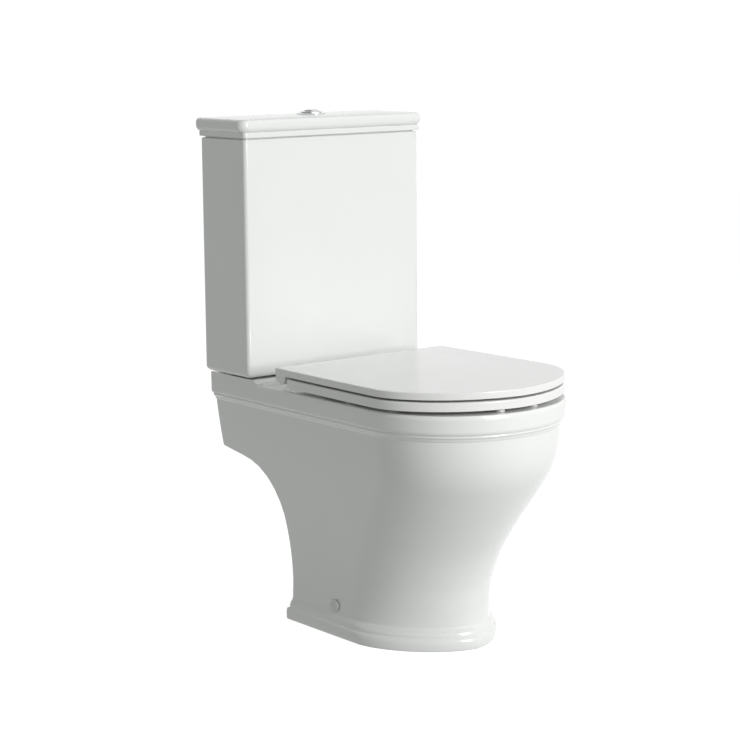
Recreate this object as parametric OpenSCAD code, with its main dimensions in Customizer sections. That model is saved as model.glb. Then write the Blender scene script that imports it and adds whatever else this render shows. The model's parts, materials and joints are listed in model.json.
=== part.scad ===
// Close coupled toilet: open back pan, cistern with dual flush valve, and hinged seat.
// Millimetres. +Z is up, the front faces -Y, and the origin is on the floor under the middle.

/* [Pan] */
// Height of the deck that the seat rests on
deck_z = 404; // [400:1:408]
// Half the width of the rim band
rim_half = 178; // [175:1:179]
// Distance from the origin to the front of the rim band
rim_front = 302.5; // [298:0.5:303]
// Half the width of the waist above the foot
waist_half = 120; // [118:1:124]
// Distance from the origin to the front of the waist
waist_front = 173; // [170:1:176]
// How far the foot stands out at its sides
foot_proud = 11; // [8:1:14]
// How far the foot stands out at its front
foot_proud_front = 14; // [12:1:16]
// Thickness of the china walls
china = 11; // [10:1:12]
// Height of the shelf under the cistern
shelf_z = 410; // [409:0.5:411]
// Outside radius of the outlet spigot
outlet_r = 51; // [50:0.5:52]
// Height of the outlet spigot's centre
outlet_z = 185; // [180:1:190]

/* [Cistern] */
// Half the width of the cistern
tank_half = 183; // [180:1:183]
// Underside of the cistern
tank_z = 412.5; // [412:0.5:413]
// Top of the cistern's walls
tank_top = 806; // [780:1:806]
// Front face of the cistern
tank_front = 176; // [174:1:178]
// Back face of the cistern
tank_back = 300; // [298:0.5:300]
// Thickness of the cistern's walls
tank_wall = 9; // [8:0.5:10]

/* [Seat] */
// Half the width of the seat
seat_half = 182; // [178:1:183]
// Distance from the origin to the front of the seat
seat_front = 299; // [296:1:300]
// Height of the hinge axis
hinge_z = 426.5; // [426.5:0.5:427]
// Distance from the origin back to the hinge axis
hinge_y = 96; // [94:1:98]
// Distance from the middle to each hinge post
hinge_x = 77.5; // [75:0.5:80]

/* [Buttons] */
// Outside radius of the button bezel
bezel_r = 25; // [24:0.5:26]

/* [Hidden] */
$fn = 48;
over = 1;

// Heights where the foot, wall and rim band of the pan meet
foot_top = 36;
rim_line_z = 362;
band_proud = 10;
wall_top_half = rim_half - band_proud;
wall_top_front = rim_front - 6;
pan_back = 298;
foot_back = 153;

// Share of the way from waist to rim, as [height, share]
side_rise = [[36, 0.02], [70, 0], [110, 0.06], [150, 0.19], [200, 0.39], [250, 0.6],
             [290, 0.77], [330, 0.91], [362, 1]];
front_rise = [[36, 0], [64, 0.005], [100, 0.04], [150, 0.19], [200, 0.44], [250, 0.72],
              [285, 0.9], [310, 0.975], [335, 1], [362, 1]];
// Share of the foot's standing out, as [height, share]
foot_shape = [[0, 0.9], [2, 0.96], [8, 1], [14, 0.97], [18, 0.86], [20, 0.66], [21, 0.58], [23, 0.6],
              [27, 0.52], [30, 0.36], [33, 0.14], [36, 0]];
// Share of the rim band's standing out from the wall, as [height, share]
band_shape = [[362, 0], [364, 0.16], [367, 0.3], [370, 0.6], [371.5, 0.52], [373, 0.62],
              [375, 0.86], [379, 1], [396, 1], [400, 0.95], [402.8, 0.78], [404, 0.5]];

// Slope of a curve at its point i, from the points beside it
function slope(p, i) =
    let (a = max(i - 1, 0), b = min(i + 1, len(p) - 1))
    (p[b][1] - p[a][1]) / (p[b][0] - p[a][0]);
// Number of the stretch of a curve that holds x
function stretch(p, x, i = 0) = (i >= len(p) - 2 || x < p[i + 1][0]) ? i : stretch(p, x, i + 1);
// Smooth curve through the points [x, value], at x
function curve(p, x) =
    let (i = stretch(p, x), h = p[i + 1][0] - p[i][0], t = (x - p[i][0]) / h)
    p[i][1] * (2 * t ^ 3 - 3 * t ^ 2 + 1) + p[i + 1][1] * (3 * t ^ 2 - 2 * t ^ 3)
    + h * slope(p, i) * (t ^ 3 - 2 * t ^ 2 + t) + h * slope(p, i + 1) * (t ^ 3 - t ^ 2);

// Half width and front of the pan's plain wall at a height
function wall_half(z) =
    waist_half + (wall_top_half - waist_half) * curve(side_rise, min(max(z, foot_top), rim_line_z));
function wall_front(z) =
    waist_front + (wall_top_front - waist_front) * curve(front_rise, min(max(z, foot_top), rim_line_z));
// Roundness of the pan's front, fuller at the rim than at the foot
function wall_round(z) = curve([[0, 1.65], [60, 1.8], [200, 1.88], [404, 2.1]], z);
// Length of the front curve over the half width, longest at the waist
function wall_depth(z) = curve([[0, 1.1], [60, 1.3], [200, 1.12], [300, 1], [404, 0.95]], z);

function power(v, e) = sign(v) * abs(v) ^ e;
// Outline with straight sides, a rounded front and a square back, anticlockwise from the left
front_steps = 32;
side_steps = 5;
side_taper = 0.01;
function u_outline(half, front, back, round = 2, depth = 0.95, taper = side_taper) =
    let (start = depth * half - front, e = 2 / round)
    concat(
        [for (i = [0:front_steps]) let (a = 180 * i / front_steps)
            [-half * power(cos(a), e), start - (front + start) * power(sin(a), e)]],
        [for (i = [1:side_steps]) let (t = i / side_steps)
            [half * (1 - taper * t ^ 2), start + (back - start) * t]],
        [for (i = [side_steps:-1:1]) let (t = i / side_steps)
            [-half * (1 - taper * t ^ 2), start + (back - start) * t]]
    );
// Closed oval from front to back, anticlockwise
oval_steps = 36;
function oval(half, front, back, round = 2, fat = 0.55) =
    let (mid = back - (back - front) * (1 - fat), e = 2 / round)
    [for (i = [0:oval_steps - 1]) let (a = 360 * i / oval_steps, s = sin(a))
        [half * power(cos(a), e), mid + (s > 0 ? back - mid : mid - front) * power(s, e)]];

// Solid through a stack of outlines, each with its own height
module loft(outlines, heights) {
    n = len(outlines[0]);
    m = len(heights);
    points = [for (k = [0:m - 1]) for (p = outlines[k]) [p[0], p[1], heights[k]]];
    sides = [for (k = [0:m - 2]) for (i = [0:n - 1])
        let (j = (i + 1) % n, a = k * n)
        each [[a + i, a + n + i, a + n + j], [a + i, a + n + j, a + j]]];
    bottom = [for (i = [0:n - 1]) i];
    top = [for (i = [n - 1:-1:0]) (m - 1) * n + i];
    polyhedron(points, concat([bottom, top], sides), convexity = 10);
}
// Outlines of the pan's outside and of the hollow inside its walls
function pan_half(z) = wall_half(z)
    + (z < foot_top ? foot_proud * curve(foot_shape, z) : 0)
    + (z > rim_line_z ? band_proud * curve(band_shape, z) : 0);
function pan_front(z) = wall_front(z)
    + (z < foot_top ? foot_proud_front * curve(foot_shape, z) : 0)
    + (z > rim_line_z ? 6 * curve(band_shape, z) : 0);
pan_heights = concat(
    [for (p = foot_shape) if (p[0] < foot_top) p[0]],
    [for (z = [foot_top:20:rim_line_z - 10]) z],
    [for (p = band_shape) p[0] * deck_z / 404]);
module pan_outside() {
    loft([for (z = pan_heights) u_outline(pan_half(min(z, 404)), pan_front(min(z, 404)), pan_back,
        wall_round(z), wall_depth(z))], pan_heights);
}
hollow_heights = concat([-over], [for (z = [foot_top:50:342]) z], [deck_z - 14]);
module pan_hollow() {
    loft([for (z = hollow_heights) u_outline(wall_half(z) - china, wall_front(z) - china,
        pan_back + 20, wall_round(z), wall_depth(z))], hollow_heights);
}
// Side view of what is cut away below and behind the skirt
back_edge = [[-over, foot_back], [19, foot_back], [20, 149], [150, 149], [180, 151], [200, 156],
             [222, 166], [242, 181], [257, 201], [266, 222], [271, 245], [275, 270], [280, pan_back + 2]];
module back_cut() {
    rotate([90, 0, 90])
        linear_extrude(2 * rim_half + 20, center = true)
            polygon(concat([for (p = back_edge) [p[1], p[0]]],
                [[pan_back + 60, 280], [pan_back + 60, -over]]));
}
// Shelf for the cistern, with a concave sweep down to the deck
shelf_front = 176;
sweep_r = 14;
module shelf() {
    rise = shelf_z - deck_z;
    rotate([90, 0, 90])
        linear_extrude(2 * (rim_half - 3), center = true)
            polygon(concat(
                [for (t = [0:0.125:1]) [shelf_front - sweep_r + sweep_r * t, deck_z + rise * t ^ 2]],
                [[pan_back, shelf_z], [pan_back, deck_z - 8], [shelf_front - sweep_r, deck_z - 8]]));
}

// Bowl: [height, half width, front, back] of its inside, below the rim
bowl_shape = [[44, 20, 14, 50], [52, 32, 0, 54], [80, 40, -18, 56], [106, 46, -34, 57], [120, 50, -44, 64],
              [160, 62, -84, 78], [200, 84, -142, 86], [250, 106, -194, 82], [300, 130, -240, 74],
              [345, 146, -264, 62], [372, 148, -268, 62]];
mouth_half = 126;
mouth_front = -250;
mouth_back = 44;
lip = 10;
module bowl_form(grow, top) {
    loft([for (b = bowl_shape) oval(b[1] + grow, b[2] - grow, b[3] + grow)],
        [for (b = bowl_shape) b[0] == 372 ? top : b[0] - grow * (b[0] < 50 ? 1 : 0)]);
}
module mouth(grow, low, high) {
    loft([for (z = [low, high]) oval(mouth_half + grow, mouth_front - grow, mouth_back + grow)], [low, high]);
}
// Water way behind the bowl, as [y, z] points of its middle line
trap_path = [[44, 76], [66, 72], [88, 82], [104, 106], [116, 136], [130, 164], [146, 180], [168, outlet_z]];
trap_r = 32;
trap_sides = 20;
module trap(radius) {
    n = len(trap_path);
    points = [for (i = [0:n - 1])
        let (a = trap_path[max(i - 1, 0)], b = trap_path[min(i + 1, n - 1)], d = (b - a) / norm(b - a))
        for (j = [0:trap_sides - 1]) let (t = 360 * j / trap_sides)
            [radius * cos(t), trap_path[i][0] - radius * sin(t) * d[1],
                trap_path[i][1] + radius * sin(t) * d[0]]];
    sides = [for (i = [0:n - 2]) for (j = [0:trap_sides - 1])
        let (k = (j + 1) % trap_sides, a = i * trap_sides, b = a + trap_sides)
        each [[a + j, b + k, b + j], [a + j, a + k, b + k]]];
    polyhedron(points, concat([[for (j = [trap_sides - 1:-1:0]) j],
        [for (j = [0:trap_sides - 1]) (n - 1) * trap_sides + j]], sides), convexity = 6);
}
// Duct that takes the flush from the cistern to the channel behind the rim
duct_half = 46;
duct_back = 284;
duct_low = 344;
module duct(grow) {
    translate([-duct_half - grow, 50, duct_low - grow])
        cube([2 * (duct_half + grow), duct_back - 50 + grow, deck_z - 14 - duct_low + grow]);
}
outlet_end = 236;
plate_y = 149;
spigot_start = plate_y - 0.02;
inlet_y = 239;
inlet_r = 38;
bolt_x = 80;
supply_x = 125;
bracket_y = 29;
side_hole_z = 47;
side_cap_r = 11;
module pan_casting() {
    resize([0, 0, 0]) difference() {
        union() {
            difference() {
                pan_outside();
                pan_hollow();
            }
            shelf();
            intersection() {
                union() {
                    bowl_form(lip, deck_z - 8);
                    trap(trap_r + 9);
                    duct(9);
                    translate([-outlet_r - 6, plate_y - 12, outlet_z - outlet_r - 6])
                        cube([2 * outlet_r + 12, 12, 2 * outlet_r + 12]);
                }
                pan_outside();
            }
        }
        bowl_form(0, deck_z - 34);
        difference() {
            mouth(22, deck_z - 44, deck_z - 14);
            mouth(lip, deck_z - 36, deck_z);
        }
        mouth(0, deck_z - 50, deck_z + 20);
        trap(trap_r);
        duct(0);
        back_cut();
    }
}
module pan() {
    color("white") difference() {
        union() {
            pan_casting();
            translate([0, spigot_start, outlet_z]) rotate([-90, 0, 0])
                cylinder(h = outlet_end - spigot_start, r = outlet_r);
        }
        translate([0, plate_y - 3, outlet_z]) rotate([-90, 0, 0]) cylinder(h = outlet_end, r = outlet_r - 8);
        translate([0, inlet_y, deck_z - 30]) cylinder(h = 60, r = inlet_r);
        for (side = [-1, 1]) {
            translate([side * bolt_x, inlet_y, deck_z - 40]) cylinder(h = 60, r = 7);
            translate([side * hinge_x, hinge_y, deck_z - 40]) cylinder(h = 60, r = 7);
            translate([side * 95, bracket_y, side_hole_z]) rotate([0, side * 90, 0]) cylinder(h = 40, r = 4);
        }
        translate([supply_x, inlet_y, deck_z - 40]) cylinder(h = 60, r = 16);
    }
}

// Both sides of the toilet, for pieces that come in mirrored pairs
module both_sides() {
    children();
    mirror([1, 0, 0]) children();
}
// Flat ring and upright tube
module ring(r_in, r_out, low, high) {
    translate([0, 0, low]) difference() {
        cylinder(h = high - low, r = r_out);
        translate([0, 0, -over]) cylinder(h = high - low + 2 * over, r = r_in);
    }
}
module rod(r, low, high) {
    translate([0, 0, low]) cylinder(h = high - low, r = r);
}
module cross_rod(r, x0, x1) {
    translate([x0, 0, 0]) rotate([0, 90, 0]) cylinder(h = x1 - x0, r = r);
}
module box(low, high) {
    translate(low) cube(high - low);
}
// Slab with round upright corners
module slab(half, front, back, low, high, r) {
    translate([0, 0, low]) linear_extrude(high - low) {
        for (x = [r - half, half - r]) for (y = [front + r, back - r]) translate([x, y]) circle(r);
        translate([r - half, front]) square([2 * (half - r), back - front]);
        translate([-half, front + r]) square([2 * half, back - front - 2 * r]);
    }
}

// Floor fixing inside the foot
screw_r = 3;
bracket_face = waist_half - china - 0.5;
module floor_brackets() {
    color("silver") both_sides() difference() {
        union() {
            box([bracket_face - 4, bracket_y - 15, 0.2], [bracket_face, bracket_y + 15, 60]);
            box([bracket_face - 36, bracket_y - 15, 0.2], [bracket_face, bracket_y + 15, 4]);
        }
        translate([0, bracket_y, side_hole_z]) cross_rod(screw_r + 0.2, bracket_face - 10, bracket_face + 10);
        translate([bracket_face - 22, bracket_y, 0]) rod(3.5, -over, 10);
    }
}
module side_screws() {
    color("silver") both_sides() translate([0, bracket_y, side_hole_z]) {
        cross_rod(screw_r, bracket_face - 12, waist_half + 1);
        cross_rod(5.5, waist_half + 0.8, waist_half + 3);
    }
}
module side_caps() {
    color("white") both_sides() translate([0, bracket_y, side_hole_z]) difference() {
        union() {
            cross_rod(side_cap_r, waist_half + 1.4, waist_half + 3.5);
            translate([waist_half + 3.5, 0, 0]) rotate([0, 90, 0])
                cylinder(h = 1.5, r1 = side_cap_r, r2 = side_cap_r - 2.5);
        }
        cross_rod(6, waist_half, waist_half + 3.5);
    }
}

// Cistern
tank_r = 7;
floor_low = 430;
floor_top = 440;
// Upright box profile from low to high, round at its two lower corners
module round_base(from, to, r) {
    translate([from, tank_z + r]) square([to - from, tank_top - tank_z - r]);
    translate([from + r, tank_z]) square([to - from - 2 * r, tank_top - tank_z]);
    for (x = [from + r, to - r]) translate([x, tank_z + r]) circle(r);
}
// The cistern's outside: three profiles that cross give it round edges
module cistern_block() {
    long = 2 * tank_back + 100;
    intersection() {
        translate([0, 0, tank_z - over]) linear_extrude(tank_top - tank_z + over) {
            for (x = [tank_r - tank_half, tank_half - tank_r]) translate([x, tank_front + tank_r]) circle(tank_r);
            translate([tank_r - tank_half, tank_front]) square([2 * (tank_half - tank_r), tank_back - tank_front]);
            translate([-tank_half, tank_front + tank_r]) square([2 * tank_half, tank_back - tank_front - tank_r]);
        }
        translate([0, long / 2, 0]) rotate([90, 0, 0]) linear_extrude(long) round_base(-tank_half, tank_half, 9);
        translate([-long / 2, 0, 0]) rotate([90, 0, 90]) linear_extrude(long) round_base(tank_front, tank_back, 9);
    }
}
module cistern() {
    color("white") difference() {
        cistern_block();
        slab(tank_half - tank_wall, tank_front + tank_wall, tank_back - tank_wall, floor_top,
            tank_top + over, 6);
        slab(150, tank_front + 12, tank_back - 11, tank_z - over, floor_low, 6);
        translate([0, inlet_y, 0]) rod(31, floor_low - over, floor_top + over);
        for (side = [-1, 1]) {
            translate([side * bolt_x, inlet_y, 0]) rod(6, floor_low - over, floor_top + over);
            translate([side * 110, tank_back - tank_wall - over, tank_top - 60])
                rotate([-90, 0, 0]) cylinder(h = tank_wall + 2 * over, r = 4);
        }
        translate([supply_x, inlet_y, 0]) rod(11.5, floor_low - over, floor_top + over);
    }
}

// Pieces that seal and bolt the cistern to the pan
nut_r = 42;
module coupling_seal() {
    color("dimgray") translate([0, inlet_y, 0]) {
        ring(31, 49, shelf_z + 0.1, shelf_z + 7.5);
        ring(nut_r + 1.5, 49, shelf_z + 7.5, floor_low - 0.1);
    }
}
module at_bolts() {
    both_sides() translate([bolt_x, inlet_y, 0]) children();
}
bolt_r = 4;
shelf_low = deck_z - 14;
module cistern_bolts() {
    color("gainsboro") at_bolts() {
        rod(bolt_r, shelf_low - 22, floor_top + 4);
        translate([0, 0, floor_top + 3]) cylinder(h = 6, r = 8, $fn = 6);
    }
}
module bolt_seal_washers() {
    color("black") at_bolts() ring(bolt_r, 14, floor_top, floor_top + 3);
}
module shelf_rubber_washers() {
    color("black") at_bolts() ring(bolt_r, 13, shelf_low - 4, shelf_low);
}
module shelf_steel_washers() {
    color("silver") at_bolts() ring(bolt_r, 12, shelf_low - 5.5, shelf_low - 4);
}
module wing_nuts() {
    color("silver") at_bolts() difference() {
        union() {
            rod(7.5, shelf_low - 14, shelf_low - 5.5);
            for (turn = [45, 225]) rotate(turn) box([5, -1.5, shelf_low - 18], [17, 1.5, shelf_low - 8]);
        }
        rod(bolt_r, shelf_low - 20, shelf_low);
    }
}

// Seat hinges
barrel_r = 13.2;
eye_r = 9.3;
pin_r = 4;
pin_play = 0.06;
post_in = hinge_x - 9.5;
post_out = hinge_x + 9.5;
lug_in = post_in - 18;
web_out = post_out + 19;
module at_hinge() {
    translate([0, hinge_y, hinge_z]) children();
}
module hinge_posts() {
    color("gainsboro") both_sides() difference() {
        union() {
            translate([hinge_x, hinge_y, 0]) {
                rod(13, deck_z + 0.1, deck_z + 3);
                rod(6.5, deck_z + 2, hinge_z);
            }
            at_hinge() cross_rod(eye_r, post_in, post_out);
        }
        at_hinge() cross_rod(pin_r, post_in - over, post_out + over);
    }
}
module hinge_pins() {
    color("silver") both_sides() at_hinge() cross_rod(pin_r, lug_in, web_out - 2);
}
module at_studs() {
    both_sides() translate([hinge_x, hinge_y, 0]) children();
}
module hinge_studs() {
    color("silver") at_studs() rod(5, shelf_low - 34, deck_z + 0.1);
}
module hinge_washers() {
    color("black") at_studs() {
        ring(5, 6.8, shelf_low, shelf_low + 6);
        ring(5, 14, shelf_low - 4, shelf_low);
    }
}
module hinge_nuts() {
    color("ivory") at_studs() difference() {
        union() {
            rod(9, shelf_low - 22, shelf_low - 4);
            for (turn = [0:60:300]) rotate(turn) box([7, -1.5, shelf_low - 20], [11.5, 1.5, shelf_low - 4]);
        }
        rod(5, shelf_low - 30, shelf_low);
    }
}

// Seat
ring_low = 410;
ring_high = 424.5;
ring_back = 79;
lid_low = 428;
lid_high = 439;
seat_taper = 0.03;
seat_round = 1.8;
seat_depth = 0.8;
function seat_outline(half, front, back) = u_outline(half, front, back, seat_round, seat_depth, seat_taper);
module seat_ring() {
    color("white") difference() {
        union() {
            translate([0, 0, ring_low]) linear_extrude(ring_high - ring_low) difference() {
                polygon(seat_outline(seat_half, seat_front, ring_back));
                polygon(oval(108, -232, 40));
            }
            both_sides() {
                at_hinge() cross_rod(eye_r, lug_in, post_in - 1.5);
                box([lug_in, ring_back - 4, ring_low + 4], [post_in - 1.5, hinge_y - 4, ring_high]);
            }
        }
        both_sides() at_hinge() cross_rod(pin_r + pin_play, lug_in - over, post_in);
    }
}
ring_pads = [[34, -278], [148, -160], [158, -66]];
lid_pads = [[138, -150], [146, 10]];
module ring_buffers() {
    color("whitesmoke") both_sides() for (p = ring_pads)
        translate([p[0], p[1], 0]) rod(7, deck_z + 0.3, ring_low);
}
// The lid's barrel is hollow round each hinge post and each lug of the ring
barrel_end = seat_half * (1 - seat_taper);
module seat_lid() {
    color("white") difference() {
        union() {
            translate([0, 0, lid_low]) linear_extrude(lid_high - lid_low)
                polygon(seat_outline(seat_half, seat_front, hinge_y));
            at_hinge() {
                cross_rod(barrel_r, -barrel_end, barrel_end);
                box([-barrel_end, 0, 0], [barrel_end, barrel_r, barrel_r]);
            }
        }
        both_sides() at_hinge() {
            cross_rod(eye_r + 1.3, lug_in - 1.5, post_out + 1.5);
            box([lug_in - 1.5, -barrel_r - over, -barrel_r - over], [post_out + 1.5, barrel_r + over, 0.5]);
            box([post_in - 0.5, 0, 0], [post_out + 1.5, barrel_r + over, 10.5]);
            cross_rod(pin_r + pin_play, post_out, web_out);
        }
    }
}
module lid_buffers() {
    color("whitesmoke") both_sides() for (p = lid_pads)
        translate([p[0], p[1], 0]) rod(6, ring_high + 0.3, lid_low);
}

// Cistern lid
band_half = 192;
band_front = 171;
band_back = 302.5;
band_low = 816.5;
band_r = 11;
lid_drop = tank_top - 806;
crown = 1.5;
module lid_band() {
    corner = 12;
    hull() {
        for (x = [corner - band_half, band_half - corner]) for (y = [band_front + corner, band_back])
            translate([x, y, band_low + band_r]) rotate_extrude($fn = 32) intersection() {
                translate([corner - band_r, 0]) circle(band_r, $fn = 32);
                translate([0, -band_r]) square([corner, 2 * band_r]);
            }
        translate([-110, band_front + 30, band_low + 2 * band_r]) cube([220, 74, crown]);
    }
}
module cistern_lid() {
    color("white") translate([0, 0, lid_drop]) difference() {
        union() {
            lid_band();
            slab(185.5, 172.5, band_back + 10, 808, band_low + 6, 6);
            slab(178, 181, 296, 806.1, 810, 6);
            slab(168, 191, 287.5, 798, 810, 5);
        }
        slab(160, 199, 279.5, 790, 828, 4);
        box([-200, band_back, 790], [200, band_back + 40, 860]);
        translate([0, inlet_y, 0]) rod(20.4, 820, 860);
    }
}

// Dual button
split_x = 2;
bezel_bore = 16.8;
bezel_floor = 814;
bezel_z = band_low + 2 * band_r + crown;
button_low = 836;
full_x = -8.5;
half_x = 8.5;
rod_r = 3;
spring_gap = 0.2;
rod_tip_z = 769.3;
module at_button() {
    translate([0, inlet_y, lid_drop]) children();
}
module button_bezel() {
    color("silver") at_button() difference() {
        union() {
            rod(bezel_r, bezel_z, bezel_z + 1.6);
            translate([0, 0, bezel_z + 1.6]) cylinder(h = 2.9, r1 = bezel_r - 1, r2 = 19.5);
            rod(20, bezel_floor - 3, bezel_z + 1);
        }
        rod(bezel_bore, bezel_floor, 860);
        for (x = [full_x, half_x]) translate([x, 0, 0]) rod(rod_r + 0.3, 800, 830);
    }
}
module bezel_locknut() {
    color("ivory") at_button() difference() {
        translate([0, 0, 820]) cylinder(h = 7.9, r = 28, $fn = 8);
        rod(20, 818, 830);
    }
}
module button_cap() {
    rod(bezel_bore - 0.3, button_low, bezel_z + 5.5);
    translate([0, 0, bezel_z + 5.5]) cylinder(h = 3, r1 = bezel_bore - 0.3, r2 = bezel_bore - 4);
}
module full_button() {
    color("silver") at_button() intersection() {
        button_cap();
        box([-20, -20, 830], [split_x - 0.2, 20, 860]);
    }
}
module half_button() {
    color("silver") at_button() intersection() {
        button_cap();
        box([split_x + 0.2, -20, 830], [20, 20, 860]);
    }
}
module button_rod() {
    rod(rod_r, rod_tip_z + 4, button_low);
    translate([0, 0, rod_tip_z]) cylinder(h = 4, r1 = 0.8, r2 = rod_r);
}
module full_button_rod() {
    color("ivory") at_button() translate([full_x, 0, 0]) button_rod();
}
module half_button_rod() {
    color("ivory") at_button() translate([half_x, 0, 0]) button_rod();
}
// Compression spring round a button's rod
spring_r = 4.6;
wire_r = 0.6;
spring_turns = 5;
spring_steps = 14;
module spring() {
    low = bezel_floor + spring_gap + wire_r;
    high = button_low - spring_gap - wire_r;
    n = spring_turns * spring_steps;
    points = [for (i = [0:n]) let (a = 360 * i / spring_steps) for (j = [0:5])
        let (r = spring_r + wire_r * cos(60 * j))
        [r * cos(a), r * sin(a), low + (high - low) * i / n + wire_r * sin(60 * j)]];
    sides = [for (i = [0:n - 1]) for (j = [0:5]) let (k = (j + 1) % 6, a = 6 * i)
        each [[a + j, a + 6 + j, a + 6 + k], [a + j, a + 6 + k, a + k]]];
    polyhedron(points, concat([[for (j = [0:5]) j], [for (j = [5:-1:0]) 6 * n + j]], sides), convexity = 10);
}
module full_button_spring() {
    color("silver") at_button() translate([full_x, 0, 0]) spring();
}
module half_button_spring() {
    color("silver") at_button() translate([half_x, 0, 0]) spring();
}

// Flush valve
shank_r = 30;
water_r = 25;
seat_z = 448;
stem_r = 14;
guide_z = 690;
pivot_x = 22;
pivot_z = 765;
rocker_end = 53;
trip_x = 50;
yoke_z = pivot_z + 5.6;
module at_valve() {
    translate([0, inlet_y, 0]) children();
}
module flush_valve_body() {
    color("whitesmoke") at_valve() difference() {
        union() {
            rod(shank_r, shelf_z - 10, seat_z);
            rod(39, floor_top + 3, seat_z);
            difference() {
                rod(39, seat_z - 1, 530);
                rod(35.5, seat_z, 526);
                for (turn = [0, 90]) rotate(turn) box([-50, -20, seat_z + 6], [50, 20, 516]);
            }
            both_sides() {
                translate([30, 0, 0]) rod(4, 528, 748);
                box([16, -10, 746], [34, 10, 752]);
                box([17, -10, 750], [27, -6, pivot_z + 5]);
                box([17, 6, 750], [27, 10, pivot_z + 5]);
            }
            box([-38, -18, guide_z], [58, 18, guide_z + 6]);
        }
        rod(water_r, 380, seat_z + over);
        rod(stem_r + 0.8, seat_z, guide_z + 10);
        translate([trip_x, 0, 0]) rod(2.9, guide_z - 5, guide_z + 10);
        for (x = [-pivot_x, pivot_x]) translate([x, -20, pivot_z]) rotate([-90, 0, 0]) cylinder(h = 40, r = 2);
    }
}
module flush_valve_gasket() {
    color("black") at_valve() ring(shank_r, 42, floor_top, floor_top + 3);
}
module flush_valve_backnut() {
    color("whitesmoke") at_valve() difference() {
        translate([0, 0, floor_low - 12]) cylinder(h = 12, r = nut_r, $fn = 12);
        rod(shank_r, floor_low - 14, floor_low + 2);
    }
}
module rocker_pin() {
    color("silver") at_valve() for (x = [-pivot_x, pivot_x])
        translate([x, -11, pivot_z]) rotate([-90, 0, 0]) cylinder(h = 22, r = 2);
}
module rocker() {
    difference() {
        union() {
            box([4, -4, pivot_z - 4], [rocker_end, 4, pivot_z + 4]);
            translate([pivot_x, -4, pivot_z]) rotate([-90, 0, 0]) cylinder(h = 8, r = 5);
        }
        translate([pivot_x, -10, pivot_z]) rotate([-90, 0, 0]) cylinder(h = 20, r = 2.06);
        box([trip_x - 3.5, -2.9, pivot_z - 10], [rocker_end + over, 2.9, pivot_z + 10]);
    }
}
module full_rocker() {
    color("steelblue") at_valve() mirror([1, 0, 0]) rocker();
}
module half_rocker() {
    color("skyblue") at_valve() rocker();
}
module flush_stem() {
    color("lightgray") at_valve() difference() {
        union() {
            rod(stem_r, seat_z + 3.1, 735);
            rod(28, seat_z + 3.1, seat_z + 7);
            rod(20, 712, 716);
            for (side = [-1, 1]) {
                box([-6, side * 16 - 2, 712], [6, side * 16 + 2, yoke_z + 4]);
                box([-57, side * 16 - 2, yoke_z], [6, side * 16 + 2, yoke_z + 4]);
            }
            box([-57, -18, yoke_z], [-46, 18, yoke_z + 4]);
        }
        rod(stem_r - 2.5, seat_z, 740);
    }
}
module flush_seal() {
    color("black") at_valve() ring(stem_r - 2.5, 30, seat_z + 0.1, seat_z + 3.1);
}
module half_flush_trip() {
    color("skyblue") at_valve() translate([trip_x, 0, 0]) {
        rod(2.5, 560, pivot_z + 7);
        rod(6, yoke_z, yoke_z + 3);
        rod(5, 560, 575);
    }
}

// Fill valve
lever_y = -22;
lever_x = 10;
lever_z = 712;
float_rod_x = -26;
tail_top = floor_low - 11;
module at_fill() {
    translate([supply_x, inlet_y, 0]) children();
}
module fill_valve_body() {
    color("whitesmoke") at_fill() difference() {
        union() {
            rod(10.4, tail_top, floor_top + 4);
            rod(10.2, 386, tail_top + over);
            rod(17, floor_top + 3, floor_top + 8);
            rod(9, floor_top + 7, 692);
            rod(17, 690, 730);
            rod(19, 730, 738);
            box([lever_x - 5, lever_y + 4, lever_z - 7], [lever_x + 5, -10, lever_z + 7]);
        }
        rod(6, 380, 680);
        translate([lever_x, lever_y - 10, lever_z]) rotate([-90, 0, 0]) cylinder(h = 22, r = 2);
    }
}
module fill_valve_washer() {
    color("black") at_fill() ring(10.4, 18, floor_top, floor_top + 3);
}
module fill_valve_backnut() {
    color("whitesmoke") at_fill() difference() {
        translate([0, 0, floor_low - 10]) cylinder(h = 10, r = 16, $fn = 6);
        rod(10.4, floor_low - 12, floor_low + 2);
    }
}
module lever_pin() {
    color("silver") at_fill() translate([lever_x, lever_y - 5, lever_z]) rotate([-90, 0, 0])
        cylinder(h = 14, r = 2);
}
module float_lever() {
    color("steelblue") at_fill() difference() {
        box([-36, lever_y - 3, lever_z - 3], [lever_x + 5, lever_y + 3, lever_z + 3]);
        translate([lever_x, lever_y - 5, lever_z]) rotate([-90, 0, 0]) cylinder(h = 10, r = 2.06);
        box([-33, lever_y - 1.8, lever_z - 5], [-20, lever_y + 1.8, lever_z + 5]);
    }
}
module fill_float() {
    color("lightgray") at_fill() {
        difference() {
            rod(26, 600, 662);
            rod(10, 590, 670);
            ring(11.5, 24, 590, 659);
        }
        difference() {
            box([float_rod_x - 3, lever_y - 3, 655], [-8, lever_y + 10, 660]);
            rod(11, 650, 665);
        }
        translate([float_rod_x, lever_y, 0]) {
            rod(1.2, 658, 722);
            rod(3, lever_z + 4.2, lever_z + 6);
        }
    }
}

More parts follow.
